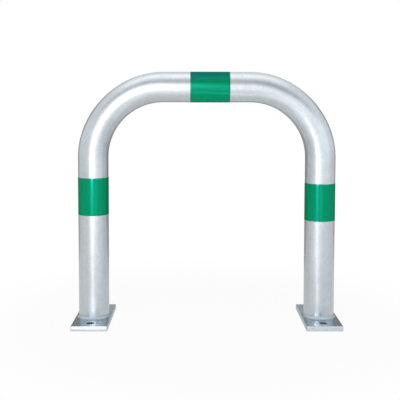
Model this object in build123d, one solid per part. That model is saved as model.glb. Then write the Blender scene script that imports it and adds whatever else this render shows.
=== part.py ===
from build123d import *

import os
from math import asin, degrees, hypot, pi

# Impact protection hoop: a round steel tube, bent into a flat-topped hoop, welded to two base plates
# and marked with three bands of film. All sizes are in millimetres. The origin is on the ground midway
# between the legs, +X runs to the right as the front shows it, -Y is the front and +Z is up.

# Hoop tube. The spacing and the bend radius are measured on the tube's centreline.
tube_diameter = 60.3
tube_wall = 2.9
leg_spacing = 452.0
hoop_height = 498.0
bend_radius = 140.0

# Fillet weld at the foot of each leg. The bead's face is laid in narrow flats on a round about a root that
# lies behind the corner of tube and plate, and the last flat runs into the tube. Each puddle of weld metal
# leaves a ripple that rises to its crest and falls away.
weld_leg = 4.3
weld_root_depth = 3.0
weld_flat_count = 4
weld_ripple_pitch = 4.0
weld_ripple_depth = 0.3
ripple_crest_share = 0.35

# Base plates. The long side runs front to back, and the plate clears the weld by the toe margin.
plate_thickness = 10.0
plate_corner_radius = 1.5
plate_edge_chamfer = 0.5
weld_toe_margin = 0.55
anchor_hole_diameter = 14.0
anchor_hole_spacing = 110.0
anchor_edge_distance = 20.0
drain_hole_diameter = 30.0

# Film bands. Each is wrapped once round the tube, and its end laps over its start at the rear.
# The adhesive holds it a hair's breadth off the steel. A leg's band sits below the lower end of the
# bend by its own drop, and the top band sits off the middle by its own offset.
film_thickness = 0.3
film_adhesive_gap = 0.05
film_lap = 10.0
film_lap_ramp = 1.5
leg_band_length = 74.0
top_band_length = 78.0
left_band_drop = 39.0
right_band_drop = 50.0
top_band_offset = 6.0

# How far a cutting shape runs past the solid that it cuts.
cut_overrun = 1.0

# Places and sizes that follow from the ones above.
tube_radius = tube_diameter / 2
bore_radius = tube_radius - tube_wall
leg_x = leg_spacing / 2
top_axis_height = hoop_height - tube_radius
bend_start_height = top_axis_height - bend_radius
plate_width = tube_diameter + 2 * (weld_leg + weld_toe_margin)
plate_length = anchor_hole_spacing + 2 * anchor_edge_distance
rear_angle = 90  # the rear lies a quarter turn round from +X


def hoop_tube():
    """The hoop: up the left leg, round two bends and down the right leg, open at both feet."""
    centreline = FilletPolyline(
        (-leg_x, 0, plate_thickness),
        (-leg_x, 0, top_axis_height),
        (leg_x, 0, top_axis_height),
        (leg_x, 0, plate_thickness),
        radius=bend_radius,
    )
    section = Circle(tube_radius) - Circle(bore_radius)
    return sweep(Pos(-leg_x, 0, plate_thickness) * section, path=centreline)


def base_plate():
    """A flat bar cut to length, with two anchor holes and a drain hole that opens into the tube."""
    outline = RectangleRounded(plate_width, plate_length, plate_corner_radius)
    anchor_holes = GridLocations(0, anchor_hole_spacing, 1, 2) * Circle(anchor_hole_diameter / 2)
    profile = outline - anchor_holes - Circle(drain_hole_diameter / 2)
    plate = extrude(profile, plate_thickness)
    lower_face, *_, upper_face = plate.faces().filter_by(Axis.Z).sort_by(Axis.Z)
    rims = lower_face.outer_wire().edges() + upper_face.outer_wire().edges()
    return chamfer(rims, plate_edge_chamfer)


def weld_section(turn, puddle_radius):
    """The bead's upright section at one turn round the leg: flats on a round, over a root behind the corner."""
    root_x = tube_radius - weld_root_depth
    toe_angle = degrees(asin(weld_root_depth / puddle_radius))
    round_line = CenterArc((root_x, -weld_root_depth), puddle_radius, toe_angle, 90 - toe_angle)
    face_points = [round_line @ (number / weld_flat_count) for number in range(weld_flat_count + 1)]
    outline = Polyline(*face_points, (root_x, 0), close=True)
    return Rot(0, 0, turn) * (Plane.XZ * make_face(outline))


def weld_bead():
    """A closed ring of weld metal round a leg's foot, standing on the plate's top, rippled all round."""
    crest_radius = hypot(weld_leg + weld_root_depth, weld_root_depth)
    valley_radius = crest_radius - weld_ripple_depth
    ripple_count = round(2 * pi * (tube_radius + weld_leg / 2) / weld_ripple_pitch)
    ripple_angle = 360 / ripple_count
    sections = [
        weld_section(0, valley_radius),
        weld_section(ripple_angle * ripple_crest_share, crest_radius),
        weld_section(ripple_angle, valley_radius),
    ]
    ripple = loft(sections, ruled=True)
    ripples = [Rot(0, 0, ripple_angle * number) * ripple for number in range(ripple_count)]
    ring = ripples[0].fuse(*ripples[1:], glue=True).clean()
    return ring - extrude(Circle(tube_radius), weld_leg + cut_overrun)


def film_band(band_length):
    """One turn of film round a tube along Z, centred on the origin, with its lap seam at the rear."""
    inner_radius = tube_radius + film_adhesive_gap
    under_radius = inner_radius + film_thickness
    over_radius = under_radius + film_thickness
    lap_angle = degrees(film_lap / under_radius)
    ramp_angle = degrees(film_lap_ramp / under_radius)
    lap_start = rear_angle - lap_angle / 2
    lap_end = rear_angle + lap_angle / 2
    over_layer = CenterArc((0, 0), over_radius, lap_start, lap_angle)
    under_layer = CenterArc((0, 0), under_radius, lap_end + ramp_angle, 360 - lap_angle - ramp_angle)
    ramp = Line(over_layer @ 1, under_layer @ 0)
    cut_end = Line(under_layer @ 1, over_layer @ 0)
    profile = make_face([over_layer, ramp, under_layer, cut_end]) - Circle(inner_radius)
    return extrude(profile, band_length / 2, both=True)


def leg_band_place(side_x, band_drop):
    """Where a leg's band lies, from the leg's place and the band's drop below the bend."""
    return Pos(side_x, 0, bend_start_height - band_drop - leg_band_length / 2)


plate = base_plate()
bead = weld_bead()
leg_band = film_band(leg_band_length)
top_band = Rot(0, 90, 0) * film_band(top_band_length)

nodes = {
    "hoop_tube": hoop_tube(),
    "base_plate_left": Pos(-leg_x, 0, 0) * plate,
    "base_plate_right": Pos(leg_x, 0, 0) * plate,
    "weld_bead_left": Pos(-leg_x, 0, plate_thickness) * bead,
    "weld_bead_right": Pos(leg_x, 0, plate_thickness) * bead,
    "marking_band_left": leg_band_place(-leg_x, left_band_drop) * leg_band,
    "marking_band_top": Pos(top_band_offset, 0, top_axis_height) * top_band,
    "marking_band_right": leg_band_place(leg_x, right_band_drop) * leg_band,
}

os.makedirs("parts", exist_ok=True)
for node_name, solid in nodes.items():
    export_step(solid, f"parts/{node_name}.step")
    print(node_name, round(solid.volume), "cubic millimetres")
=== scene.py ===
import logging
import random
from collections.abc import Callable, Sequence
from dataclasses import dataclass, field
from enum import Enum
from math import asin, cos, hypot, pi, sin, tau
from typing import ClassVar

import bpy
from mathutils import Matrix, Vector, noise
from mathutils.geometry import tessellate_polygon


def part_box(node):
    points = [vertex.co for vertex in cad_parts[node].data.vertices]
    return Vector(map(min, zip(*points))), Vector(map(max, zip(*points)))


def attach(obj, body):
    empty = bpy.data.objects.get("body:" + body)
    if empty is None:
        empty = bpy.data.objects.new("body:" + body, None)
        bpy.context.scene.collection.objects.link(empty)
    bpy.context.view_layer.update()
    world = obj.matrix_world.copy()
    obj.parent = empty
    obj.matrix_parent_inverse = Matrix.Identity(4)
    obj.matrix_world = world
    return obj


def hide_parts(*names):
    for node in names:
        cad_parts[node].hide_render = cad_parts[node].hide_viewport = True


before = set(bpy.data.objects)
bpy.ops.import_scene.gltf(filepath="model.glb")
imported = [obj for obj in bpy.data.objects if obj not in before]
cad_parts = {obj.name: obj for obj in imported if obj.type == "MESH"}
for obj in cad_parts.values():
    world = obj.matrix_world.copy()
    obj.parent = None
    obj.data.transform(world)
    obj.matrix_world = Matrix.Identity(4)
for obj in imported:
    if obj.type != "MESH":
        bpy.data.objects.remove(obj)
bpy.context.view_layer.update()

# The looks of an impact protection hoop: a galvanised steel tube bent into a flat-topped hoop, welded to
# two base plates and marked with three bands of green film. Lengths are in metres, angles in radians.

log = logging.getLogger("impact_protection_hoop")
BODY = "root"

# Values that the meshes store for the finishes: where a spot would be if its piece were straight, how much
# of an edge it is, and how much painted shade darkens it in the holes, along the weld's toes and at the
# tube's foot.
PLACE = "straight_place"
EDGE = "edge_share"
PAINTED_SHADE = "painted_shade_share"

# Numbers of the Mix node's sockets for colours, whose names aren't unique: two inputs and the output.
MIX_FIRST, MIX_SECOND, MIX_RESULT = 6, 7, 2

# The average spot's place between a finish's darkest and lightest colour.
HALFWAY = 0.5

Colour = tuple[float, float, float]
Point = tuple[float, float, float]
Spot = tuple[float, float]
Window = tuple[float, float]
Output = bpy.types.NodeSocket
Feeds = dict[str | int, object]


class Side(Enum):
    """The two legs, by the sign of their place along X."""

    LEFT = -1
    RIGHT = 1


class Band(Enum):
    """The three film bands, by their names in the frame."""

    LEFT = "marking_band_left"
    TOP = "marking_band_top"
    RIGHT = "marking_band_right"


class Slot(Enum):
    """The record's material slots."""

    STEEL = "galvanised_steel"
    FILM = "marking_film"


class Socket(Enum):
    """Kinds of socket on a shader node group."""

    VALUE = "NodeSocketFloat"
    VECTOR = "NodeSocketVector"


class Axis(Enum):
    """The axes, by their names on Blender's sockets."""

    X = "X"
    Y = "Y"
    Z = "Z"


def opaque(colour: Colour) -> tuple[float, float, float, float]:
    """Returns a colour with full alpha."""
    return (*colour, 1.0)


def circle(steps: int) -> list[float]:
    """Returns the turns of equal steps round a circle."""
    return [tau * step / steps for step in range(steps)]


def hang(name: str, data: bpy.types.ID) -> bpy.types.Object:
    """Adds a new object to the scene.

    Args:
        name: The object's name.
        data: Its mesh, lamp or camera.

    Returns:
        The object.
    """
    made = bpy.data.objects.new(name, data)
    bpy.context.scene.collection.objects.link(made)
    return made


@dataclass(frozen=True)
class Pattern:
    """A noise pattern.

    Args:
        scale: How fine it is.
        detail: How many finer layers it has.
        rough: How much each finer layer counts.
    """

    scale: float
    detail: float
    rough: float = 0.5


@dataclass(frozen=True)
class Wire:
    """One node tree, with short ways to add nodes and to link them.

    Args:
        tree: The node tree that the nodes go into.
    """

    tree: bpy.types.NodeTree

    @classmethod
    def fresh(cls, owner: bpy.types.Material | bpy.types.World) -> "Wire":
        """Empties the node tree of a material or of the world.

        Args:
            owner: What the node tree belongs to.

        Returns:
            The wire of the empty tree.
        """
        owner.use_nodes = True
        owner.node_tree.nodes.clear()
        return cls(owner.node_tree)

    def feed(self, target: Output, source: object) -> None:
        """Links an input socket to an output, or sets it to a plain value.

        Args:
            target: The input socket.
            source: An output, or the value to set.
        """
        if isinstance(source, Output):
            self.tree.links.new(source, target)
        else:
            target.default_value = source

    def node(self, kind: str, feeds: Feeds | None = None, **settings: object) -> bpy.types.Node:
        """Adds a node.

        Args:
            kind: Blender's name of the node type, without its ShaderNode prefix.
            feeds: Outputs or values for its input sockets, by the sockets' names or numbers.
            settings: Properties set on the new node.

        Returns:
            The new node.
        """
        made = self.tree.nodes.new(f"ShaderNode{kind}")
        for key, value in settings.items():
            setattr(made, key, value)
        for key, source in (feeds or {}).items():
            self.feed(made.inputs[key], source)
        return made

    def math(self, operation: str, first: object, second: object = 0.0) -> Output:
        """Adds a Math node and returns its output."""
        return self.node("Math", {0: first, 1: second}, operation=operation).outputs[0]

    def add(self, first: object, second: object) -> Output:
        """Adds two values and returns the output."""
        return self.math("ADD", first, second)

    def times(self, first: object, second: object) -> Output:
        """Multiplies two values and returns the output."""
        return self.math("MULTIPLY", first, second)

    def blend(self, share: float, first: object, second: object) -> Output:
        """Adds a share of the first value to the rest of the second and returns the output."""
        return self.add(self.times(first, share), self.times(second, 1 - share))

    def spread(self, value: object, low: float, high: float) -> Output:
        """Maps a value from 0..1 onto low..high and returns the output."""
        return self.node("MapRange", {"Value": value, "To Min": low, "To Max": high}).outputs[0]

    def swing(self, value: object, contrast: float, middle: float = 0.0) -> Output:
        """Maps a value from 0..1 onto a range as wide as the contrast, round a middle."""
        return self.spread(value, middle - contrast / 2, middle + contrast / 2)

    def window(self, value: object, ends: Window) -> Output:
        """Turns the window between two ends into 0..1 with soft ends and returns the output."""
        feeds = {"Value": value, "From Min": ends[0], "From Max": ends[1]}
        return self.node("MapRange", feeds, interpolation_type="SMOOTHSTEP").outputs[0]

    def mix(self, share: object, first: object, second: object) -> Output:
        """Mixes two colours by a share and returns the output."""
        feeds = {0: share, MIX_FIRST: first, MIX_SECOND: second}
        return self.node("Mix", feeds, data_type="RGBA").outputs[MIX_RESULT]

    def noise(self, vector: object, pattern: Pattern) -> Output:
        """Adds a noise texture and returns its value, about 0.5 on average."""
        feeds = {"Scale": pattern.scale, "Detail": pattern.detail, "Roughness": pattern.rough}
        return self.node("TexNoise", {"Vector": vector, **feeds}).outputs["Fac"]

    def stored(self, name: str, output: str = "Fac") -> Output:
        """Returns a value that the mesh stores under a name."""
        return self.node("Attribute", attribute_name=name).outputs[output]

    def normal_part(self, axis: Axis) -> Output:
        """Returns the part of the surface's normal that lies along an axis."""
        normal = self.node("NewGeometry").outputs["Normal"]
        return self.node("SeparateXYZ", {0: normal}).outputs[axis.value]

    def bump(self, height: object, depth: float) -> Output:
        """Turns a height from 0 to 1 into a normal, for relief of a depth in metres."""
        return self.node("Bump", {"Distance": depth, "Height": height}).outputs[0]


@dataclass(frozen=True)
class Effect:
    """A shader effect that several finishes use, as a node group with an input for the straight place.

    Args:
        name: The group's name.
    """

    name: str
    VALUES: ClassVar[tuple[tuple[str, float], ...]] = ()  # Further inputs, with their default values.
    OUTPUTS: ClassVar[tuple[str, ...]] = ("Tone",)

    def group(self) -> bpy.types.NodeTree:
        """Builds the node group the first time that it is asked for.

        Returns:
            The node group.
        """
        ready = bpy.data.node_groups.get(self.name)
        if ready:
            return ready
        made = bpy.data.node_groups.new(self.name, "ShaderNodeTree")
        made.interface.new_socket("Place", in_out="INPUT", socket_type=Socket.VECTOR.value)
        for title, value in self.VALUES:
            socket = made.interface.new_socket(title, in_out="INPUT", socket_type=Socket.VALUE.value)
            socket.default_value = value
        for title in self.OUTPUTS:
            made.interface.new_socket(title, in_out="OUTPUT", socket_type=Socket.VALUE.value)
        wire = Wire(made)
        enter = made.nodes.new("NodeGroupInput").outputs
        leave = made.nodes.new("NodeGroupOutput").inputs
        for title, source in zip(self.OUTPUTS, self.fill(wire, enter)):
            wire.feed(leave[title], source)
        return made

    def fill(self, wire: Wire, enter: object) -> tuple[Output, ...]:
        """Builds the nodes behind the group's inputs and returns its outputs; each effect has its own."""
        raise NotImplementedError

    def place(self, wire: Wire, **values: object) -> bpy.types.Node:
        """Puts the group into a material.

        Args:
            wire: The material's node tree.
            values: Input sockets by name, with underscores for blanks.

        Returns:
            The group node.
        """
        feeds = {key.replace("_", " "): value for key, value in values.items()}
        return wire.node("Group", feeds, node_tree=self.group())


@dataclass(frozen=True)
class Spangle(Effect):
    """The crystal pattern that zinc freezes in: flat grains, each with a tone of its own.

    Args:
        warp_scale: How fine the noise is that bends the grains' borders.
        warp_share: How far it bends them.
        fine_factor: How many times smaller the small grains are.
        large_share: How much the large grains count in the tone.
    """

    name: str = "zinc_spangle"
    warp_scale: float = 90.0
    warp_share: float = 0.006
    fine_factor: float = 2.7
    large_share: float = 0.6
    VALUES = (("Grain Size", 0.006),)

    def fill(self, wire: Wire, enter: object) -> tuple[Output, ...]:
        """Two sizes of grain, warped by noise so that no border is straight.

        Args:
            wire: The group's node tree.
            enter: The group's inputs by name.

        Returns:
            The tone.
        """
        warp = wire.node("TexNoise", {"Vector": enter["Place"], "Scale": self.warp_scale}).outputs["Color"]
        feeds = {"Fac": self.warp_share, "Color1": enter["Place"], "Color2": warp}
        bent = wire.node("MixRGB", feeds, blend_type="LINEAR_LIGHT").outputs["Color"]
        density = wire.math("DIVIDE", 1.0, enter["Grain Size"])
        tones = []
        for factor in (1.0, self.fine_factor):
            cell = wire.node("TexVoronoi", {"Vector": bent, "Scale": wire.times(density, factor)})
            tones.append(wire.node("SeparateColor", {"Color": cell.outputs["Color"]}).outputs["Red"])
        return (wire.blend(self.large_share, *tones),)


@dataclass(frozen=True)
class DrawLines(Effect):
    """Lines along the length of drawn or rolled steel, left under the zinc.

    Args:
        broad: Noise scale of the broad lines, across twice and then along the piece.
        fine: The same of the fine lines.
        broad_detail: How many finer layers the broad lines have.
        fine_detail: The same of the fine lines.
        broad_share: How much the broad lines count in the tone.
    """

    name: str = "draw_lines"
    broad: Point = (240.0, 240.0, 2.6)
    fine: Point = (900.0, 900.0, 11.0)
    broad_detail: float = 3.0
    fine_detail: float = 2.0
    broad_share: float = 0.6

    def fill(self, wire: Wire, enter: object) -> tuple[Output, ...]:
        """Noise stretched along the piece, broad and fine together.

        Args:
            wire: The group's node tree.
            enter: The group's inputs by name.

        Returns:
            The tone.
        """
        tones = []
        for scale, detail in ((self.broad, self.broad_detail), (self.fine, self.fine_detail)):
            stretched = wire.node("VectorMath", {0: enter["Place"], 1: scale}, operation="MULTIPLY")
            tones.append(wire.noise(stretched.outputs[0], Pattern(1.0, detail)))
        return (wire.blend(self.broad_share, *tones),)


@dataclass(frozen=True)
class Clouds(Effect):
    """Patches where a surface is a little duller or brighter, from dipping, hands and weather.

    Args:
        tone: The patches of tone.
        gloss: The patches of gloss.
    """

    name: str = "soft_clouds"
    tone: Pattern = Pattern(26.0, 4.0, 0.6)
    gloss: Pattern = Pattern(70.0, 5.0, 0.6)
    OUTPUTS = ("Tone", "Gloss")

    def fill(self, wire: Wire, enter: object) -> tuple[Output, ...]:
        """One soft noise for tone and a finer one for gloss."""
        return wire.noise(enter["Place"], self.tone), wire.noise(enter["Place"], self.gloss)


@dataclass(frozen=True)
class StoredMask(Effect):
    """A share that the mesh stores, broken up by patches of noise.

    Args:
        stored: The stored value's name.
        patches: The noise.
        patch_window: Noise values between which a patch fades in.
    """

    stored: str
    patches: Pattern
    patch_window: Window
    OUTPUTS = ("Mask",)

    def fill(self, wire: Wire, enter: object) -> tuple[Output, ...]:
        """The stored share times the noise's window."""
        patches = wire.window(wire.noise(enter["Place"], self.patches), self.patch_window)
        return (wire.times(wire.stored(self.stored), patches),)


@dataclass(frozen=True)
class Dust(Effect):
    """Dust that settles on faces that look up.

    Args:
        upward_window: Upward parts of the normal between which dust begins to lie.
        specks: The noise of its specks.
        speck_window: Noise values between which a speck fades in.
    """

    name: str = "settled_dust"
    upward_window: Window = (0.45, 1.0)
    specks: Pattern = Pattern(450.0, 6.0, 0.7)
    speck_window: Window = (0.42, 0.75)
    VALUES = (("Amount", 0.1),)
    OUTPUTS = ("Mask",)

    def fill(self, wire: Wire, enter: object) -> tuple[Output, ...]:
        """The upward share of the normal times speckled noise.

        Args:
            wire: The group's node tree.
            enter: The group's inputs by name.

        Returns:
            The mask.
        """
        upward = wire.window(wire.normal_part(Axis.Z), self.upward_window)
        specks = wire.window(wire.noise(enter["Place"], self.specks), self.speck_window)
        return (wire.times(wire.times(upward, specks), enter["Amount"]),)


SPANGLE = Spangle()
DRAW_LINES = DrawLines()
CLOUDS = Clouds()
DUST = Dust()
EDGE_WEAR = StoredMask("edge_wear", EDGE, Pattern(320.0, 4.0, 0.65), (0.35, 0.6))
# The mask of the painted shade: the stored share of it, broken up by patches of noise.
PAINTED_SHADE_MARKS = StoredMask("painted_shade_marks", PAINTED_SHADE, Pattern(500.0, 5.0, 0.65), (0.15, 0.45))


@dataclass(frozen=True)
class Finish:
    """A surface finish.

    Args:
        name: The material's name.
        colour: Base colour, linear red, green and blue.
        roughness: Roughness at an average spot.
        gloss_contrast: How much the roughness varies between patches.
        relief: Height of the surface's waves.
        dust: Share of dust on faces that look up.
        dust_colour: Colour of settled dust.
    """

    name: str
    colour: Colour
    roughness: float
    gloss_contrast: float = 0.12
    relief: float = 0.00002
    dust: float = 0.08
    dust_colour: Colour = (0.42, 0.40, 0.37)

    def material(self) -> bpy.types.Material:
        """Builds the material the first time that it is asked for.

        Returns:
            The material.
        """
        ready = bpy.data.materials.get(self.name)
        if ready:
            return ready
        made = bpy.data.materials.new(self.name)
        wire = Wire.fresh(made)
        surface = wire.node("BsdfPrincipled")
        wire.node("OutputMaterial", {"Surface": surface.outputs[0]})
        self.dress(wire, surface.inputs, wire.stored(PLACE, "Vector"))
        return made

    def shade(self, factor: float) -> tuple[float, float, float, float]:
        """Returns the main colour, made lighter or darker by a factor, with full alpha."""
        return opaque(tuple(min(1.0, part * factor) for part in self.colour))

    def dress(self, wire: Wire, surface: object, place: Output) -> None:
        """Builds the nodes that feed the shader; each finish has its own."""
        raise NotImplementedError


@dataclass(frozen=True)
class ZincFinish(Finish):
    """Hot-dip galvanised steel.

    Args:
        grain_size: Width of the larger spangle grains.
        grain_contrast: How much one grain's tone differs from the next.
        line_contrast: How much the drawing lines show.
        cloud_contrast: How much the broad patches show.
        swing_factor: How far the colour swings for the sum of these contrasts.
        worn_factor: How much lighter a rubbed edge is.
        face_window: Parts of the normal between which an upright face counts as looking along an axis.
        cut_tone_and_highlight: Colour of the sheared faces at the bar's front and rear ends, where it
            differs: partly their own lighter zinc, partly a painted highlight.
        cut_roughness: How much rougher those faces are.
        side_shade_factor: How much darker the painted shade makes the bar's rolled long sides.
        painted_shade_colour: Near-black colour of the painted shade in the holes, along the weld's toes and
            at the tube's foot.
        dull_metallic: How metallic dust and the painted shade still look.
        dull_roughness: How much rougher they are.
        waves: The noise of the surface's waves.
        pores: The noise of its pores.
        part_heights: Heights of grains, pores and lines in the relief, where the waves' height is 1.
    """

    grain_size: float = 0.006
    grain_contrast: float = 0.10
    line_contrast: float = 0.13
    cloud_contrast: float = 0.12
    swing_factor: float = 1.8
    worn_factor: float = 1.2
    face_window: Window = (0.45, 0.85)
    cut_tone_and_highlight: Colour | None = None
    cut_roughness: float = 0.0
    side_shade_factor: float = 1.0
    painted_shade_colour: Colour = (0.045, 0.048, 0.050)
    dull_metallic: float = 0.2
    dull_roughness: float = 0.4
    waves: Pattern = Pattern(55.0, 3.0, 0.45)
    pores: Pattern = Pattern(1100.0, 3.0, 0.6)
    part_heights: tuple[float, float, float] = (0.22, 0.05, 0.30)

    def dress(self, wire: Wire, surface: object, place: Output) -> None:
        """Metal whose tone, gloss and relief vary with the zinc's grains, lines and clouds.

        Args:
            wire: The material's node tree.
            surface: The shader's inputs by name.
            place: The straight place.
        """
        grain = SPANGLE.place(wire, Place=place, Grain_Size=self.grain_size).outputs["Tone"]
        lines = DRAW_LINES.place(wire, Place=place).outputs["Tone"]
        clouds = CLOUDS.place(wire, Place=place).outputs
        wear = EDGE_WEAR.place(wire, Place=place).outputs["Mask"]
        # Painted shade: a near-black, duller and rougher colour laid into the holes, along the weld's toes
        # and at the tube's foot.
        painted_shade = PAINTED_SHADE_MARKS.place(wire, Place=place).outputs["Mask"]
        dust = DUST.place(wire, Place=place, Amount=self.dust).outputs["Mask"]
        cut = self.facing(wire, Axis.Y)
        base = self.tone(wire, (grain, lines, clouds["Tone"]))
        # The plate's front and rear faces get a lighter colour: partly the sheared ends' own zinc, partly a
        # painted highlight.
        if self.cut_tone_and_highlight:
            base = wire.mix(cut, base, opaque(self.cut_tone_and_highlight))
        # Painted shade on the plate's rolled long sides.
        if self.side_shade_factor != 1.0:
            base = wire.mix(self.facing(wire, Axis.X), base, self.shade(self.side_shade_factor))
        worn = wire.mix(wear, base, self.shade(self.worn_factor))
        dusty = wire.mix(dust, worn, opaque(self.dust_colour))
        wire.feed(surface["Base Color"], wire.mix(painted_shade, dusty, opaque(self.painted_shade_colour)))
        metallic = wire.spread(wire.math("MAXIMUM", painted_shade, dust), 1.0, self.dull_metallic)
        wire.feed(surface["Metallic"], metallic)
        rough = wire.add(self.roughness, wire.swing(clouds["Gloss"], self.gloss_contrast))
        rough = wire.add(rough, wire.times(cut, self.cut_roughness))
        dull = wire.times(wire.add(dust, painted_shade), self.dull_roughness)
        wire.feed(surface["Roughness"], wire.add(rough, dull))
        height = wire.noise(place, self.waves)
        for part, share in zip((grain, wire.noise(place, self.pores), lines), self.part_heights):
            height = wire.add(height, wire.times(part, share))
        wire.feed(surface["Normal"], wire.bump(height, self.relief))

    def facing(self, wire: Wire, axis: Axis) -> Output:
        """Returns how far a face looks along an axis, to either side."""
        return wire.window(wire.math("ABSOLUTE", wire.normal_part(axis)), self.face_window)

    def tone(self, wire: Wire, patterns: tuple[Output, Output, Output]) -> Output:
        """Mixes the bare zinc's colour.

        Args:
            wire: The material's node tree.
            patterns: Tones of the grains, the lines and the clouds.

        Returns:
            The output that holds the colour.
        """
        contrasts = (self.grain_contrast, self.line_contrast, self.cloud_contrast)
        share = HALFWAY
        for pattern, contrast in zip(patterns, contrasts):
            share = wire.add(share, wire.swing(pattern, contrast))
        swing = self.swing_factor * sum(contrasts)
        return wire.mix(share, self.shade(1 - swing), self.shade(1 + swing))


@dataclass(frozen=True)
class FilmFinish(Finish):
    """Smooth coloured marking film.

    Args:
        refraction: Index of refraction. It is low, so that the film doesn't turn white at its rims.
        shine: Specular level, where 0.5 leaves the index as it is.
        shine_tint: How many times stronger than the index gives the shine is in each colour.
        bead_density: How many beads of its grain lie along a metre.
        bead_contrast: How much the beads show.
        bead_height: Height of the beads in the relief, where the waves' height is 1.
        waves: The noise of its faint waviness.
        cloud_contrast: How much its clouds show.
        tone_swing: How far the colour swings from dark to light spots.
        soil_share: How much of the colour a soiled edge loses.
        soil_factor: How dark a soiled edge is.
        top_shade_window: Upward parts of the normal between which the film's top gets more and more painted
            shade, and rougher.
        top_shade_factor: How dark the painted shade makes the film where its top is fully shaded.
        upward_roughness: How much rougher it is there.
    """

    gloss_contrast: float = 0.10
    dust: float = 0.05
    dust_colour: Colour = (0.20, 0.30, 0.25)
    refraction: float = 1.05
    shine: float = 0.5
    shine_tint: Colour = (6.8, 226.0, 228.0)
    bead_density: float = 2600.0
    bead_contrast: float = 0.12
    bead_height: float = 0.08
    waves: Pattern = Pattern(90.0, 3.0)
    cloud_contrast: float = 0.36
    tone_swing: float = 0.12
    soil_share: float = 0.6
    soil_factor: float = 0.45
    top_shade_window: Window = (0.10, 0.85)
    top_shade_factor: float = 0.20
    upward_roughness: float = 0.45

    def dress(self, wire: Wire, surface: object, place: Output) -> None:
        """Even green with faint clouds, a fine bead grain, slightly soiled edges and painted shade on its
        top.

        Args:
            wire: The material's node tree.
            surface: The shader's inputs by name.
            place: The straight place.
        """
        clouds = CLOUDS.place(wire, Place=place).outputs
        soil = EDGE_WEAR.place(wire, Place=place).outputs["Mask"]
        dust = DUST.place(wire, Place=place, Amount=self.dust).outputs["Mask"]
        # Painted shade: the film is darkened where it looks up, and made rougher there.
        upward = wire.window(wire.normal_part(Axis.Z), self.top_shade_window)
        beads = wire.node("TexVoronoi", {"Vector": place, "Scale": self.bead_density}).outputs["Distance"]
        cloud_tone = wire.swing(clouds["Tone"], self.cloud_contrast, HALFWAY)
        tone = wire.add(cloud_tone, wire.swing(beads, self.bead_contrast))
        base = wire.mix(tone, self.shade(1 - self.tone_swing), self.shade(1 + self.tone_swing))
        painted_top_shade = wire.mix(upward, base, self.shade(self.top_shade_factor))
        soiled = wire.mix(wire.times(soil, self.soil_share), painted_top_shade, self.shade(self.soil_factor))
        wire.feed(surface["Base Color"], wire.mix(dust, soiled, opaque(self.dust_colour)))
        rough = wire.add(self.roughness, wire.swing(clouds["Gloss"], self.gloss_contrast))
        wire.feed(surface["Roughness"], wire.add(rough, wire.times(upward, self.upward_roughness)))
        wire.feed(surface["IOR"], self.refraction)
        wire.feed(surface["Specular IOR Level"], self.shine)
        wire.feed(surface["Specular Tint"], opaque(self.shine_tint))
        height = wire.add(wire.noise(place, self.waves), wire.times(beads, self.bead_height))
        wire.feed(surface["Normal"], wire.bump(height, self.relief))


TUBE_ZINC = ZincFinish("zinc_on_tube", (0.570, 0.622, 0.800), 0.34)
PLATE_ZINC = ZincFinish(
    "zinc_on_plate",
    (0.445, 0.535, 0.600),
    0.26,
    grain_size=0.008,
    line_contrast=0.04,
    relief=0.00004,
    dust=0.16,
    cut_tone_and_highlight=(0.595, 0.645, 0.675),
    cut_roughness=0.30,
    side_shade_factor=0.76,
)
WELD_ZINC = ZincFinish(
    "zinc_on_weld",
    (0.445, 0.520, 0.590),
    0.34,
    grain_size=0.0025,
    line_contrast=0.0,
    relief=0.00010,
    dust=0.10,
)
GREEN_FILM = FilmFinish("green_film", (0.0003, 0.248, 0.030), 0.18)


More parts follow.
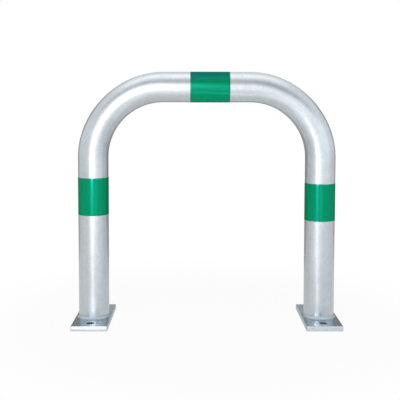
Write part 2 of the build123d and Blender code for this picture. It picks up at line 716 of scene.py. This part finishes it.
@dataclass
class Shell:
    """Vertices, faces and stored values of a mesh while it is being built."""

    corners: list[Vector] = field(default_factory=list)
    places: list[Vector] = field(default_factory=list)
    edges: list[float] = field(default_factory=list)
    painted_shades: list[float] = field(default_factory=list)
    faces: list[tuple[int, ...]] = field(default_factory=list)

    def point(self, corner: Vector, place: Vector, edge: float = 0.0, painted_shade: float = 0.0) -> int:
        """Adds a vertex.

        Args:
            corner: Where it is.
            place: Where it would be if the piece were straight, for the finish.
            edge: Share of edge there, from 0 to 1.
            painted_shade: Share of painted shade there, from 0 to 1.

        Returns:
            The vertex's number.
        """
        self.corners.append(corner)
        self.places.append(place)
        self.edges.append(edge)
        self.painted_shades.append(painted_shade)
        return len(self.corners) - 1

    def weave(self, rings: list[list[int]], close_rows: bool) -> None:
        """Joins neighbouring rings of vertices with quads.

        Args:
            rings: Rings of equal length; each ring is closed.
            close_rows: Whether the last ring also joins the first.
        """
        rows = len(rings)
        for row in range(rows if close_rows else rows - 1):
            near = rings[row]
            far = rings[(row + 1) % rows]
            for step in range(len(near)):
                following = (step + 1) % len(near)
                self.faces.append((near[step], near[following], far[following], far[step]))

    def store(self, mesh: bpy.types.Mesh) -> None:
        """Writes the values that the finishes read.

        Args:
            mesh: The mesh that they go into.
        """
        place = mesh.attributes.new(PLACE, "FLOAT_VECTOR", "POINT")
        place.data.foreach_set("vector", [part for spot in self.places for part in spot])
        for name, values in ((EDGE, self.edges), (PAINTED_SHADE, self.painted_shades)):
            mesh.attributes.new(name, "FLOAT", "POINT").data.foreach_set("value", values)

    def piece(self, name: str, node: str, finish: Finish, sharp: float) -> None:
        """Makes the object, gives it its finish and puts it in the place of its CAD node.

        Args:
            name: The piece's name.
            node: The CAD node that it stands for.
            finish: The surface finish.
            sharp: Angle above which an edge stays sharp.
        """
        mesh = bpy.data.meshes.new(name)
        mesh.from_pydata([tuple(corner) for corner in self.corners], [], self.faces)
        self.store(mesh)
        mesh.shade_smooth()
        mesh.set_sharp_from_angle(angle=sharp)
        mesh.materials.append(finish.material())
        made = hang(name, mesh)
        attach(made, BODY)
        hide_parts(node)
        log.info("%s: %d vertices, %d faces", name, len(mesh.vertices), len(mesh.polygons))


@dataclass(frozen=True)
class Station:
    """A spot on the tube's centreline.

    Args:
        centre: The spot itself.
        outward: Unit vector in the hoop's plane, away from the passage.
        along: Length of tube from the left foot.
        bend_share: How far into a bend the spot is, from 0 at its ends to 1 in its middle.
    """

    centre: Vector
    outward: Vector
    along: float
    bend_share: float = 0.0


@dataclass
class Hoop:
    """The bent tube, and the centreline that the other pieces sit on.

    Args:
        wall: Thickness of the tube's wall.
        bend_radius: Radius of each bend on the centreline.
        outer_flat_share: Share of the radius by which a bend's outer side is flattened in its middle.
        inner_flat_share: The same on its inner side.
        foot_painted_shade: Share of painted shade on the tube right above the weld.
        foot_painted_shade_height: How far up the leg the painted shade fades out.
        round_steps: Vertices round the tube.
        leg_steps: Rings along a leg.
        bend_steps: Rings along a bend.
        top_steps: Rings along the top.
        sharp_angle: Angle above which an edge stays sharp.
    """

    wall: float = 0.0029
    bend_radius: float = 0.140
    outer_flat_share: float = 0.055
    inner_flat_share: float = 0.004
    foot_painted_shade: float = 0.25
    foot_painted_shade_height: float = 0.007
    round_steps: int = 128
    leg_steps: int = 90
    bend_steps: int = 72
    top_steps: int = 36
    sharp_angle: float = 0.7

    def __post_init__(self) -> None:
        """Reads the tube's place and diameter from the frame."""
        low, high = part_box("hoop_tube")
        self.radius: float = (high.y - low.y) / 2
        self.leg_x: float = high.x - self.radius
        self.top_z: float = high.z - self.radius
        self.foot_z: float = low.z
        self.bend_z: float = self.top_z - self.bend_radius
        self.leg_length: float = self.bend_z - self.foot_z
        self.bend_length: float = self.bend_radius * pi / 2
        self.top_length: float = 2 * (self.leg_x - self.bend_radius)

    def full_length(self) -> float:
        """Returns the tube's length along its centreline."""
        return 2 * self.leg_length + 2 * self.bend_length + self.top_length

    def along(self, side: Side, from_foot: float) -> float:
        """Turns a length of tube from a side's foot into the length from the left foot."""
        return from_foot if side is Side.LEFT else self.full_length() - from_foot

    def leg_station(self, side: Side, height: float) -> Station:
        """Returns the station on a leg at a height above the ground."""
        centre = Vector((side.value * self.leg_x, 0.0, height))
        return Station(centre, Vector((side.value, 0.0, 0.0)), self.along(side, height - self.foot_z))

    def bend_station(self, side: Side, share: float) -> Station:
        """Finds a spot on a bend.

        Args:
            side: The bend's side.
            share: Share of the bend passed, counted from the leg.

        Returns:
            The station.
        """
        turn = share * pi / 2
        outward = Vector((side.value * cos(turn), 0.0, sin(turn)))
        middle = Vector((side.value * (self.leg_x - self.bend_radius), 0.0, self.bend_z))
        along = self.along(side, self.leg_length + share * self.bend_length)
        return Station(middle + outward * self.bend_radius, outward, along, sin(share * pi) ** 2)

    def top_station(self, x: float) -> Station:
        """Returns the station on the straight top at a place along X."""
        along = self.leg_length + self.bend_length + self.top_length / 2 + x
        return Station(Vector((x, 0.0, self.top_z)), Vector((0.0, 0.0, 1.0)), along)

    def centreline(self) -> list[Station]:
        """Follows the tube from end to end.

        Returns:
            Every station from the left foot to the right foot.
        """
        heights = [self.foot_z + self.leg_length * step / self.leg_steps for step in range(self.leg_steps)]
        shares = [step / self.bend_steps for step in range(self.bend_steps)]
        places = [self.top_length * (step / self.top_steps - 0.5) for step in range(self.top_steps)]
        left = [self.leg_station(Side.LEFT, height) for height in heights]
        left += [self.bend_station(Side.LEFT, share) for share in shares]
        right = [self.bend_station(Side.RIGHT, 1 - share) for share in shares]
        right += [self.leg_station(Side.RIGHT, height) for height in [self.bend_z, *reversed(heights)]]
        return left + [self.top_station(place) for place in places] + right

    def ring(self, shell: Shell, station: Station, radius: float) -> list[int]:
        """Adds one ring of vertices round the centreline.

        Args:
            shell: The mesh in the making.
            station: Where the ring goes.
            radius: The ring's radius.

        Returns:
            The numbers of its vertices.
        """
        from_foot = min(station.along, self.full_length() - station.along)
        # Painted shade on the tube right above the weld, fading out up the leg.
        painted_shade = self.foot_painted_shade * max(0.0, 1 - from_foot / self.foot_painted_shade_height)
        numbers = []
        for turn in circle(self.round_steps):
            flat_share = self.outer_flat_share if cos(turn) > 0 else self.inner_flat_share
            reach = radius * cos(turn) * (1 - flat_share * station.bend_share)
            offset = station.outward * reach + Vector((0.0, radius * sin(turn), 0.0))
            place = Vector((radius * cos(turn), radius * sin(turn), station.along))
            numbers.append(shell.point(station.centre + offset, place, 0.0, painted_shade))
        return numbers

    def build(self) -> None:
        """Builds the tube with its bore and its two cut feet."""
        shell = Shell()
        stations = self.centreline()
        outer = [self.ring(shell, station, self.radius) for station in stations]
        inner = [self.ring(shell, station, self.radius - self.wall) for station in reversed(stations)]
        shell.weave(outer + inner, close_rows=True)
        shell.piece("tube", "hoop_tube", TUBE_ZINC, self.sharp_angle)


@dataclass(frozen=True)
class Level:
    """One height of the plate's rim.

    Args:
        inset: How far the outline lies inside the true one there.
        height: Height above the ground.
        edge: Share of edge there.
        inside: How deep in a hole it is, from 0 at a face to 1 in the wall.
    """

    inset: float
    height: float
    edge: float
    inside: float


@dataclass
class BasePlate:
    """A base plate: flat bar with soft edges, two anchor holes and a drain hole.

    Args:
        side: The leg that it carries.
        corner_radius: Radius of its upright corners.
        edge_radius: Radius of its top and bottom edges.
        anchor_radius: Radius of an anchor hole.
        anchor_spacing: Distance between the anchor holes.
        drain_radius: Radius of the hidden drain hole.
        hole_painted_shade: Share of painted shade on a hole's wall.
        round_steps: Vertices round a hole.
        corner_steps: Steps round an upright corner.
        rim_steps: Rings across a rounded edge.
        sharp_angle: Angle above which an edge stays sharp.
    """

    side: Side
    corner_radius: float = 0.0015
    edge_radius: float = 0.0006
    anchor_radius: float = 0.007
    anchor_spacing: float = 0.110
    drain_radius: float = 0.015
    hole_painted_shade: float = 0.8
    round_steps: int = 64
    corner_steps: int = 6
    rim_steps: int = 4
    sharp_angle: float = 0.6

    def outline(self, size: Vector, inset: float) -> list[Spot]:
        """Finds points round the plate's outline.

        Args:
            size: Half the plate's width and length.
            inset: How far inside the true outline they lie.

        Returns:
            The points as X and Y from the plate's middle.
        """
        radius = self.corner_radius - inset
        points = []
        for number, (sign_x, sign_y) in enumerate(((1, 1), (-1, 1), (-1, -1), (1, -1))):
            for step in range(self.corner_steps + 1):
                turn = (number + step / self.corner_steps) * pi / 2
                x = sign_x * (size.x - self.corner_radius) + radius * cos(turn)
                y = sign_y * (size.y - self.corner_radius) + radius * sin(turn)
                points.append((x, y))
        return points

    def hole(self, middle_y: float, radius: float) -> list[Spot]:
        """Returns points round a hole, turning the other way than the outline."""
        return [(radius * cos(-turn), middle_y + radius * sin(-turn)) for turn in circle(self.round_steps)]

    def loops(self, size: Vector, inset: float) -> list[list[Spot]]:
        """Finds the outline and the three holes.

        Args:
            size: Half the plate's width and length.
            inset: How far all of them are moved into the metal.

        Returns:
            The points of each, with the outline first.
        """
        offsets = (-self.anchor_spacing / 2, self.anchor_spacing / 2)
        holes = [self.hole(offset, self.anchor_radius + inset) for offset in offsets]
        return [self.outline(size, inset), *holes, self.hole(0.0, self.drain_radius + inset)]

    def levels(self, low_z: float, high_z: float) -> list[Level]:
        """Rounds the plate's lower and upper edges.

        Args:
            low_z: Height of the bottom face.
            high_z: Height of the top face.

        Returns:
            The levels of the rim from the bottom face to the top face.
        """
        lower = []
        for step in range(self.rim_steps + 1):
            turn = step / self.rim_steps * pi / 2
            inset = self.edge_radius * (1 - sin(turn))
            height = low_z + self.edge_radius * (1 - cos(turn))
            lower.append(Level(inset, height, sin(2 * turn), step / self.rim_steps))
        span = low_z + high_z
        upper = [Level(rim.inset, span - rim.height, rim.edge, rim.inside) for rim in reversed(lower)]
        return lower + upper

    def cap(self, shell: Shell, rings: list[list[int]], upward: bool) -> None:
        """Fills the flat face between the outline and the holes.

        Args:
            shell: The mesh in the making.
            rings: Numbers of the vertices of the outline and of each hole.
            upward: Whether the face looks up.
        """
        loops = [[shell.corners[number].xy.to_3d() for number in ring] for ring in rings]
        numbers = [number for ring in rings for number in ring]
        for triangle in tessellate_polygon(loops):
            corners = [numbers[index] for index in triangle]
            first, second, third = (shell.corners[number] for number in corners)
            looks_up = (second - first).cross(third - first).z > 0
            shell.faces.append(tuple(corners if looks_up == upward else reversed(corners)))

    def build(self) -> None:
        """Builds the plate between its top and bottom faces."""
        node = f"base_plate_{self.side.name.lower()}"
        low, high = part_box(node)
        size = (high - low) / 2
        middle = (high + low) / 2
        shell = Shell()
        columns: list[list[list[int]]] = []
        for level in self.levels(low.z, high.z):
            rings = []
            for number, loop in enumerate(self.loops(size, level.inset)):
                corners = [Vector((middle.x + x, middle.y + y, level.height)) for x, y in loop]
                # Painted shade on the holes' walls, fading out towards the top and bottom faces.
                painted_shade = self.hole_painted_shade * level.inside if number else 0.0
                rings.append([shell.point(corner, corner, level.edge, painted_shade) for corner in corners])
            columns.append(rings)
        for number in range(len(columns[0])):
            shell.weave([rings[number] for rings in columns], close_rows=False)
        self.cap(shell, columns[0], upward=False)
        self.cap(shell, columns[-1], upward=True)
        shell.piece(f"plate_{self.side.name.lower()}", node, PLATE_ZINC, self.sharp_angle)


@dataclass
class WeldBead:
    """The fillet weld round a leg's foot, with uneven ripples.

    Args:
        side: The leg that it joins.
        hoop: The tube that it is laid against.
        root_depth: How far behind the corner the centre of its round face lies.
        ripple_pitch: Length of bead from one ripple to the next.
        pitch_share: Share by which one ripple's length differs from the average.
        ripple_depth: How far a ripple's valley lies under its crest.
        ripple_lean: Power that moves a ripple's crest along; 1 leaves it in the middle.
        ripple_bluntness: Power that shapes the crest; less than 1 makes it blunt.
        sway_depth: How far the bead's size drifts along its way.
        sway_turns: How often it drifts in one turn.
        toe_painted_shade: Share of painted shade along the bead's two toes.
        toe_power: How quickly the painted shade fades away from them.
        seed: Start of the random sequence that makes the ripples uneven.
        seed_step: Step between two seeds' sequences, which leaves room for one of each side.
        turn_steps: Rings round the leg.
        face_steps: Vertices across the bead's face.
        sharp_angle: Angle above which an edge stays sharp.
    """

    side: Side
    hoop: Hoop
    root_depth: float = 0.007
    ripple_pitch: float = 0.0032
    pitch_share: float = 0.25
    ripple_depth: float = 0.00035
    ripple_lean: float = 0.7
    ripple_bluntness: float = 0.8
    sway_depth: float = 0.00018
    sway_turns: float = 9.0
    toe_painted_shade: float = 0.12
    toe_power: int = 6
    seed: int = 11
    seed_step: int = 10
    turn_steps: int = 720
    face_steps: int = 14
    sharp_angle: float = 0.9

    def __post_init__(self) -> None:
        """Reads the bead's size from the frame."""
        self.node: str = f"weld_bead_{self.side.name.lower()}"
        low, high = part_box(self.node)
        self.foot_z: float = low.z
        self.leg: float = high.z - low.z

    def ripple_starts(self) -> list[float]:
        """Spaces the ripples unevenly.

        Returns:
            The turn at which each ripple ends and the next one starts, up to a full turn.
        """
        chance = random.Random(self.seed * self.seed_step + self.side.value)
        count = round(tau * (self.hoop.radius + self.leg / 2) / self.ripple_pitch)
        steps = [chance.uniform(1 - self.pitch_share, 1 + self.pitch_share) for _ in range(count)]
        starts, turn = [], 0.0
        for step in steps:
            turn += step * tau / sum(steps)
            starts.append(turn)
        return starts

    def face_radii(self) -> list[float]:
        """Lays the ripples and the drift along the bead.

        Returns:
            The radius of its round face at each ring.
        """
        crest = hypot(self.leg + self.root_depth, self.root_depth)
        starts = self.ripple_starts()
        radii = []
        ripple, begin = 0, 0.0
        for turn in circle(self.turn_steps):
            while turn >= starts[ripple]:
                begin = starts[ripple]
                ripple += 1
            share = (turn - begin) / (starts[ripple] - begin)
            sag = self.ripple_depth * (1 - sin(pi * share ** self.ripple_lean) ** self.ripple_bluntness)
            spot = Vector((cos(turn), sin(turn), 0.0)) * self.sway_turns
            spot.z = self.seed + self.side.value
            radii.append(crest - sag - self.sway_depth * (1 + noise.noise(spot)))
        return radii

    def build(self) -> None:
        """Builds the ring: a rippled face, a flat foot on the plate and a round back on the tube."""
        middle = Vector((self.side.value * self.hoop.leg_x, 0.0, self.foot_z))
        root = self.hoop.radius - self.root_depth
        shell = Shell()
        rings = []
        for turn, radius in zip(circle(self.turn_steps), self.face_radii()):
            outward = Vector((cos(turn), sin(turn), 0.0))
            toe = asin(self.root_depth / radius)
            ring = []
            for across in range(self.face_steps + 1):
                share = across / self.face_steps
                lift = toe + (pi / 2 - 2 * toe) * share
                reach = max(root + radius * cos(lift), self.hoop.radius)
                rise = Vector((0.0, 0.0, max(radius * sin(lift) - self.root_depth, 0.0)))
                corner = middle + rise + outward * reach
                # Painted shade along the bead's two toes, where it meets the plate and the tube.
                at_toe = abs(2 * share - 1) ** self.toe_power
                ring.append(shell.point(corner, corner, 0.0, self.toe_painted_shade * at_toe))
            inner = middle + outward * self.hoop.radius
            ring.append(shell.point(inner, inner))
            rings.append(ring)
        shell.weave(rings, close_rows=True)
        shell.piece(f"weld_{self.side.name.lower()}", self.node, WELD_ZINC, self.sharp_angle)


@dataclass
class FilmBand:
    """One turn of marking film, with the lap of its end over its start at the rear.

    Args:
        band: Which band it is.
        hoop: The tube that it is wrapped round.
        thickness: Thickness of the film.
        gap: Thickness of the adhesive under it.
        lap: Length of the lap round the tube.
        ramp: Length over which the upper layer comes down to the tube.
        edge_radius: Radius of the film's cut edges.
        edge_steps: Rings round a cut edge.
        round_steps: Vertices round the tube.
        lap_steps: Vertices along the lap.
        length_steps: Rings along the band.
        sharp_angle: Angle above which an edge stays sharp.
    """

    band: Band
    hoop: Hoop
    thickness: float = 0.0003
    gap: float = 0.00005
    lap: float = 0.010
    ramp: float = 0.0015
    edge_radius: float = 0.00012
    edge_steps: int = 3
    round_steps: int = 256
    lap_steps: int = 12
    length_steps: int = 24
    sharp_angle: float = 0.8

    def __post_init__(self) -> None:
        """Finds the stations of the band's two ends from its CAD node."""
        low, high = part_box(self.band.value)
        if self.band is Band.TOP:
            self.first: Station = self.hoop.top_station(low.x)
            self.last: Station = self.hoop.top_station(high.x)
        else:
            side = Side[self.band.name]
            self.first = self.hoop.leg_station(side, low.z)
            self.last = self.hoop.leg_station(side, high.z)

    def turns(self) -> list[tuple[float, float]]:
        """Goes round the tube from the seam at its rear.

        Returns:
            Pairs of a turn and the film's layers there: 1, or 2 on the lap.
        """
        single, double = 1.0, 2.0
        rear = pi / 2
        under = self.hoop.radius + self.gap + self.thickness
        start = rear - self.lap / under / 2
        end = rear + self.lap / under / 2
        ramp_end = end + self.ramp / under
        rest = start + tau - ramp_end
        lap = [start + (end - start) * step / self.lap_steps for step in range(self.lap_steps + 1)]
        pairs = [(turn, double) for turn in lap] + [(ramp_end, single)]
        plain_steps = self.round_steps - len(pairs)
        pairs += [(ramp_end + rest * step / plain_steps, single) for step in range(1, plain_steps + 1)]
        # The face at the film's cut end has a vertex of its own, which keeps its corner sharp.
        return [(start, double), *pairs]

    def ring(self, shell: Shell, offset: float, depth: float | None, edge: float) -> list[int]:
        """Adds one ring of vertices round the tube.

        Args:
            shell: The mesh in the making.
            offset: How far along the band it lies.
            depth: How far it lies below the film's face, or None for a ring against the adhesive.
            edge: Share of edge there.

        Returns:
            The numbers of its vertices.
        """
        direction = (self.last.centre - self.first.centre).normalized()
        sign = 1 if self.last.along > self.first.along else -1
        inner = self.hoop.radius + self.gap
        numbers = []
        for turn, layers in self.turns():
            reach = inner if depth is None else inner + self.thickness * layers - depth
            sweep = self.first.outward * cos(turn) + Vector((0.0, sin(turn), 0.0))
            corner = self.first.centre + direction * offset + sweep * reach
            place = Vector((reach * cos(turn), reach * sin(turn), self.first.along + sign * offset))
            numbers.append(shell.point(corner, place, edge))
        return numbers

    def build(self) -> None:
        """Builds the band as a closed skin round the tube with softly cut edges."""
        length = (self.last.centre - self.first.centre).length
        soft_turns = [pi / 2 * step / self.edge_steps for step in range(self.edge_steps + 1)]
        radius = self.edge_radius
        rows = [(radius * (1 - cos(turn)), radius * (1 - sin(turn)), 1.0) for turn in soft_turns]
        middle = [(length * step / self.length_steps, 0.0, 0.0) for step in range(1, self.length_steps)]
        mirrored = [(length - offset, depth, edge) for offset, depth, edge in reversed(rows)]
        shell = Shell()
        rings = [self.ring(shell, *row) for row in rows + middle + mirrored]
        rings += [self.ring(shell, length, None, 0.0), self.ring(shell, 0.0, None, 0.0)]
        shell.weave(rings, close_rows=True)
        name = f"film_{self.band.name.lower()}"
        shell.piece(name, self.band.value, GREEN_FILM, self.sharp_angle)


@dataclass
class StudioCamera:
    """The camera, standing where the photograph was taken from.

    Args:
        place: Where it stands.
        heading: Turn to the right of straight ahead along +Y.
        dip: Angle below the horizon.
        roll: Turn about its own axis.
        lens_mm: Focal length on a sensor of the width below.
        sensor_mm: Width of the sensor.
        rise_share: Vertical shift as a share of the frame.
    """

    place: Point = (-0.02209, -1.39128, 0.43077)
    heading: float = 0.00603
    dip: float = 0.05584
    roll: float = 0.00204
    lens_mm: float = 63.0
    sensor_mm: float = 36.0
    rise_share: float = -0.1375

    def build(self) -> None:
        """Creates the camera and makes it the scene's camera."""
        data = bpy.data.cameras.new("studio_camera")
        data.sensor_width = self.sensor_mm
        data.lens = self.lens_mm
        data.shift_y = self.rise_share
        camera = hang("studio_camera", data)
        turn = Matrix.Rotation(-self.heading, 4, "Z")
        lift = Matrix.Rotation(pi / 2 - self.dip, 4, "X")
        tilt = Matrix.Rotation(self.roll, 4, "Z")
        camera.matrix_world = Matrix.Translation(self.place) @ turn @ lift @ tilt
        bpy.context.scene.camera = camera


@dataclass(frozen=True)
class SoftBox:
    """A studio soft box: a lamp with an even rectangular face.

    Args:
        name: The lamp's name.
        place: Where its face is.
        aim: The point of the hoop's plane that it faces, as X and Z.
        size: Width and height of its face.
        brightness: Radiance of its face, where 1 looks white.
        in_reflections: Whether gloss shows its face.
        tint: Colour of its light.
    """

    name: str
    place: Point
    aim: Spot
    size: Spot
    brightness: float
    in_reflections: bool = True
    tint: Colour = (1.0, 1.0, 1.0)

    def build(self) -> None:
        """Hangs the lamp; its power follows from its brightness and its face."""
        data = bpy.data.lights.new(self.name, "AREA")
        data.shape = "RECTANGLE"
        data.size, data.size_y = self.size
        data.energy = self.brightness * pi * self.size[0] * self.size[1]
        data.color = self.tint
        lamp = hang(self.name, data)
        lamp.visible_camera = False
        lamp.visible_glossy = self.in_reflections
        lamp.location = self.place
        aim = Vector((self.aim[0], 0.0, self.aim[1]))
        lamp.rotation_euler = (aim - Vector(self.place)).to_track_quat("-Z", "Y").to_euler()


def sheet(name: str, corners: Sequence[Point], shader: Callable[[Wire], Output]) -> bpy.types.Object:
    """Adds a flat sheet, such as the floor or a card.

    Args:
        name: The sheet's name, and its material's.
        corners: Its corners, in order round it.
        shader: What adds the shader to the wire that it gets and returns the shader's output.

    Returns:
        The sheet.
    """
    mesh = bpy.data.meshes.new(name)
    mesh.from_pydata(corners, [], [tuple(range(len(corners)))])
    material = bpy.data.materials.new(name)
    wire = Wire.fresh(material)
    wire.node("OutputMaterial", {"Surface": shader(wire)})
    mesh.materials.append(material)
    return hang(name, mesh)


@dataclass(frozen=True)
class Card:
    """A card that only reflections see: a grey one gives metal its dark lines, a bright one its streaks.

    Args:
        name: The card's name.
        brightness: How light it looks, where 1 is white.
        corners: Its four corners, in order round it.
    """

    name: str
    brightness: float
    corners: tuple[Point, ...]

    def glow(self, wire: Wire) -> Output:
        """Adds the card's even glow and returns its output."""
        return wire.node("Emission", {"Strength": self.brightness}).outputs[0]

    def build(self) -> None:
        """Puts the card up, hidden from the camera and from soft light."""
        card = sheet(self.name, self.corners, self.glow)
        card.visible_camera = False
        card.visible_diffuse = False
        card.visible_shadow = False
        card.visible_transmission = False


def upright(start: Spot, end: Spot, top: float) -> tuple[Point, ...]:
    """Returns the corners of a card that stands on the floor from spot to spot, up to a height."""
    return ((*start, 0.0), (*end, 0.0), (*end, top), (*start, top))


def flat(height: float, *spots: Spot) -> tuple[Point, ...]:
    """Returns the corners of a card that lies level at a height, above some spots of the floor."""
    return tuple((*spot, height) for spot in spots)


# Wide boxes in front and on the right, strips near the hoop, and a fill that gloss doesn't show.
LAMPS = (
    SoftBox("front_box", (-1.15, -4.0, 1.83), (-1.00, 0.35), (2.3, 2.13), 0.76),
    SoftBox("front_low_box", (0.80, -4.0, 0.60), (0.80, 0.55), (1.6, 0.90), 0.26),
    SoftBox("low_box", (0.0, -2.6, 0.42), (0.0, 0.35), (4.2, 0.60), 0.22),
    SoftBox("right_box", (1.90, -1.90, 0.75), (0.0, 0.35), (2.4, 1.30), 0.54, tint=(0.75, 0.90, 1.0)),
    SoftBox("upper_strip", (-0.25, -0.95, 0.54), (-0.05, 0.54), (0.60, 0.56), 0.70),
    SoftBox("right_strip", (0.22, -0.95, 0.15), (0.18, 0.15), (0.36, 0.26), 0.62),
    SoftBox("strip_core", (-0.262, -0.93, 0.27), (-0.22, 0.02), (0.28, 0.13), 6.0),
    SoftBox("lower_strip", (-0.27, -0.95, 0.145), (-0.05, 0.145), (0.34, 0.25), 1.2),
    SoftBox("front_fill", (-0.80, -3.5, 1.60), (0.0, 0.35), (2.0, 2.0), 2.4, in_reflections=False),
)

# Grey cards behind and above, a bright ceiling, and bright cards on the floor before the legs.
CARDS = (
    Card("rear_card", 0.52, upright((-0.50, 1.60), (0.50, 1.60), 1.4)),
    Card("left_card", 0.28, upright((-1.90, 1.20), (-0.50, 1.60), 1.4)),
    Card("right_card", 0.28, upright((0.50, 1.60), (1.90, 1.20), 1.4)),
    Card("upper_left_card", 0.57, flat(2.25, (-3.0, -1.25), (0.10, -1.25), (0.10, -3.0), (-3.0, -3.0))),
    Card("upper_right_card", 0.45, flat(2.25, (0.10, -1.55), (3.0, -1.55), (3.0, -5.5), (0.10, -5.5))),
    Card("ceiling_card", 1.6, flat(2.30, (-1.4, 0.60), (1.2, 0.60), (1.2, -0.66), (-1.4, -0.66))),
    Card("rear_floor_card", 0.38, flat(0.002, (-1.6, 0.45), (1.6, 0.45), (1.6, 1.6), (-1.6, 1.6))),
    Card("left_wedge", 1.55, flat(0.002, (-0.238, -0.15), (-0.47, -0.95), (-0.09, -0.95), (-0.215, -0.15))),
    Card("left_apron", 2.15, flat(0.003, (-0.265, -0.078), (-0.265, -0.15), (-0.19, -0.15), (-0.19, -0.078))),
    Card("right_wedge", 1.95, flat(0.004, (0.183, -0.12), (0.026, -0.38), (0.118, -0.38), (0.206, -0.12))),
    Card("far_wedge", 1.5, flat(0.004, (0.026, -0.38), (-0.45, -0.95), (-0.07, -0.95), (0.118, -0.38))),
)


@dataclass
class Studio:
    """The white floor, the white surroundings, the lamps and the cards.

    Args:
        floor_radius: Radius of the floor.
        floor_tone: How light the floor is.
        floor_steps: Corners round the floor.
        glow_share: Share of the floor's look near the hoop that is plain white where the camera sees it.
        gloss_share: What a ray off gloss or through glass counts for there, where one from the camera is 1.
        fade_window: Distances from the hoop between which the floor turns plain white.
        soft_level: Strength of the surroundings' light on matt surfaces.
        lamps: The lamps.
        cards: The cards.
    """

    floor_radius: float = 9.0
    floor_tone: float = 0.92
    floor_steps: int = 96
    glow_share: float = 0.95
    gloss_share: float = 0.72
    fade_window: Window = (0.24, 0.62)
    soft_level: float = 0.25
    lamps: tuple[SoftBox, ...] = LAMPS
    cards: tuple[Card, ...] = CARDS

    @staticmethod
    def seen_share(wire: Wire, gloss_share: float) -> Output:
        """Finds the rays that show the surroundings: from the camera, off gloss or through glass.

        Args:
            wire: The node tree that asks.
            gloss_share: What a ray off gloss or through glass counts for, where one from the camera is 1.

        Returns:
            The output that holds the share.
        """
        path = wire.node("LightPath")
        bounced = wire.math("MAXIMUM", path.outputs["Is Glossy Ray"], path.outputs["Is Transmission Ray"])
        return wire.math("MAXIMUM", path.outputs["Is Camera Ray"], wire.times(bounced, gloss_share))

    def surroundings(self) -> None:
        """White for rays that show them, and a plain level for the light that they give."""
        world = bpy.data.worlds.new("white_studio")
        bpy.context.scene.world = world
        wire = Wire.fresh(world)
        strength = wire.spread(self.seen_share(wire, 1.0), self.soft_level, 1.0)
        back = wire.node("Background", {"Color": (1.0, 1.0, 1.0, 1.0), "Strength": strength})
        wire.node("OutputWorld", {"Surface": back.outputs[0]})

    def floor_shader(self, wire: Wire) -> Output:
        """A matt floor that keeps the shadow near the hoop and turns plain white further out.

        Args:
            wire: The floor's node tree.

        Returns:
            The shader's output.
        """
        tone = self.floor_tone
        matt = wire.node("BsdfDiffuse", {"Color": (tone, tone, tone, 1.0)})
        glow = wire.node("Emission")
        place = wire.node("TexCoord").outputs["Object"]
        distance = wire.node("VectorMath", {0: place}, operation="LENGTH").outputs["Value"]
        white = wire.spread(wire.window(distance, self.fade_window), self.glow_share, 1.0)
        share = wire.times(self.seen_share(wire, self.gloss_share), white)
        return wire.node("MixShader", {0: share, 1: matt.outputs[0], 2: glow.outputs[0]}).outputs[0]

    def build(self) -> None:
        """Sets up the whole studio."""
        bpy.context.scene.view_settings.view_transform = "Standard"
        self.surroundings()
        radius = self.floor_radius
        corners = [(radius * cos(turn), radius * sin(turn), 0.0) for turn in circle(self.floor_steps)]
        floor = sheet("studio_floor", corners, self.floor_shader)
        for part in (*self.lamps, *self.cards):
            part.build()
            log.info("%s %s", type(part).__name__, part.name)


def main() -> None:
    """Builds the studio and the hoop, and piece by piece."""
    logging.basicConfig(level=logging.INFO, format="%(name)s %(message)s")
    StudioCamera().build()
    Studio().build()
    hoop = Hoop()
    hoop.build()
    for side in Side:
        BasePlate(side).build()
        WeldBead(side, hoop).build()
    for band in Band:
        FilmBand(band, hoop).build()


if __name__ == "__main__":
    main()
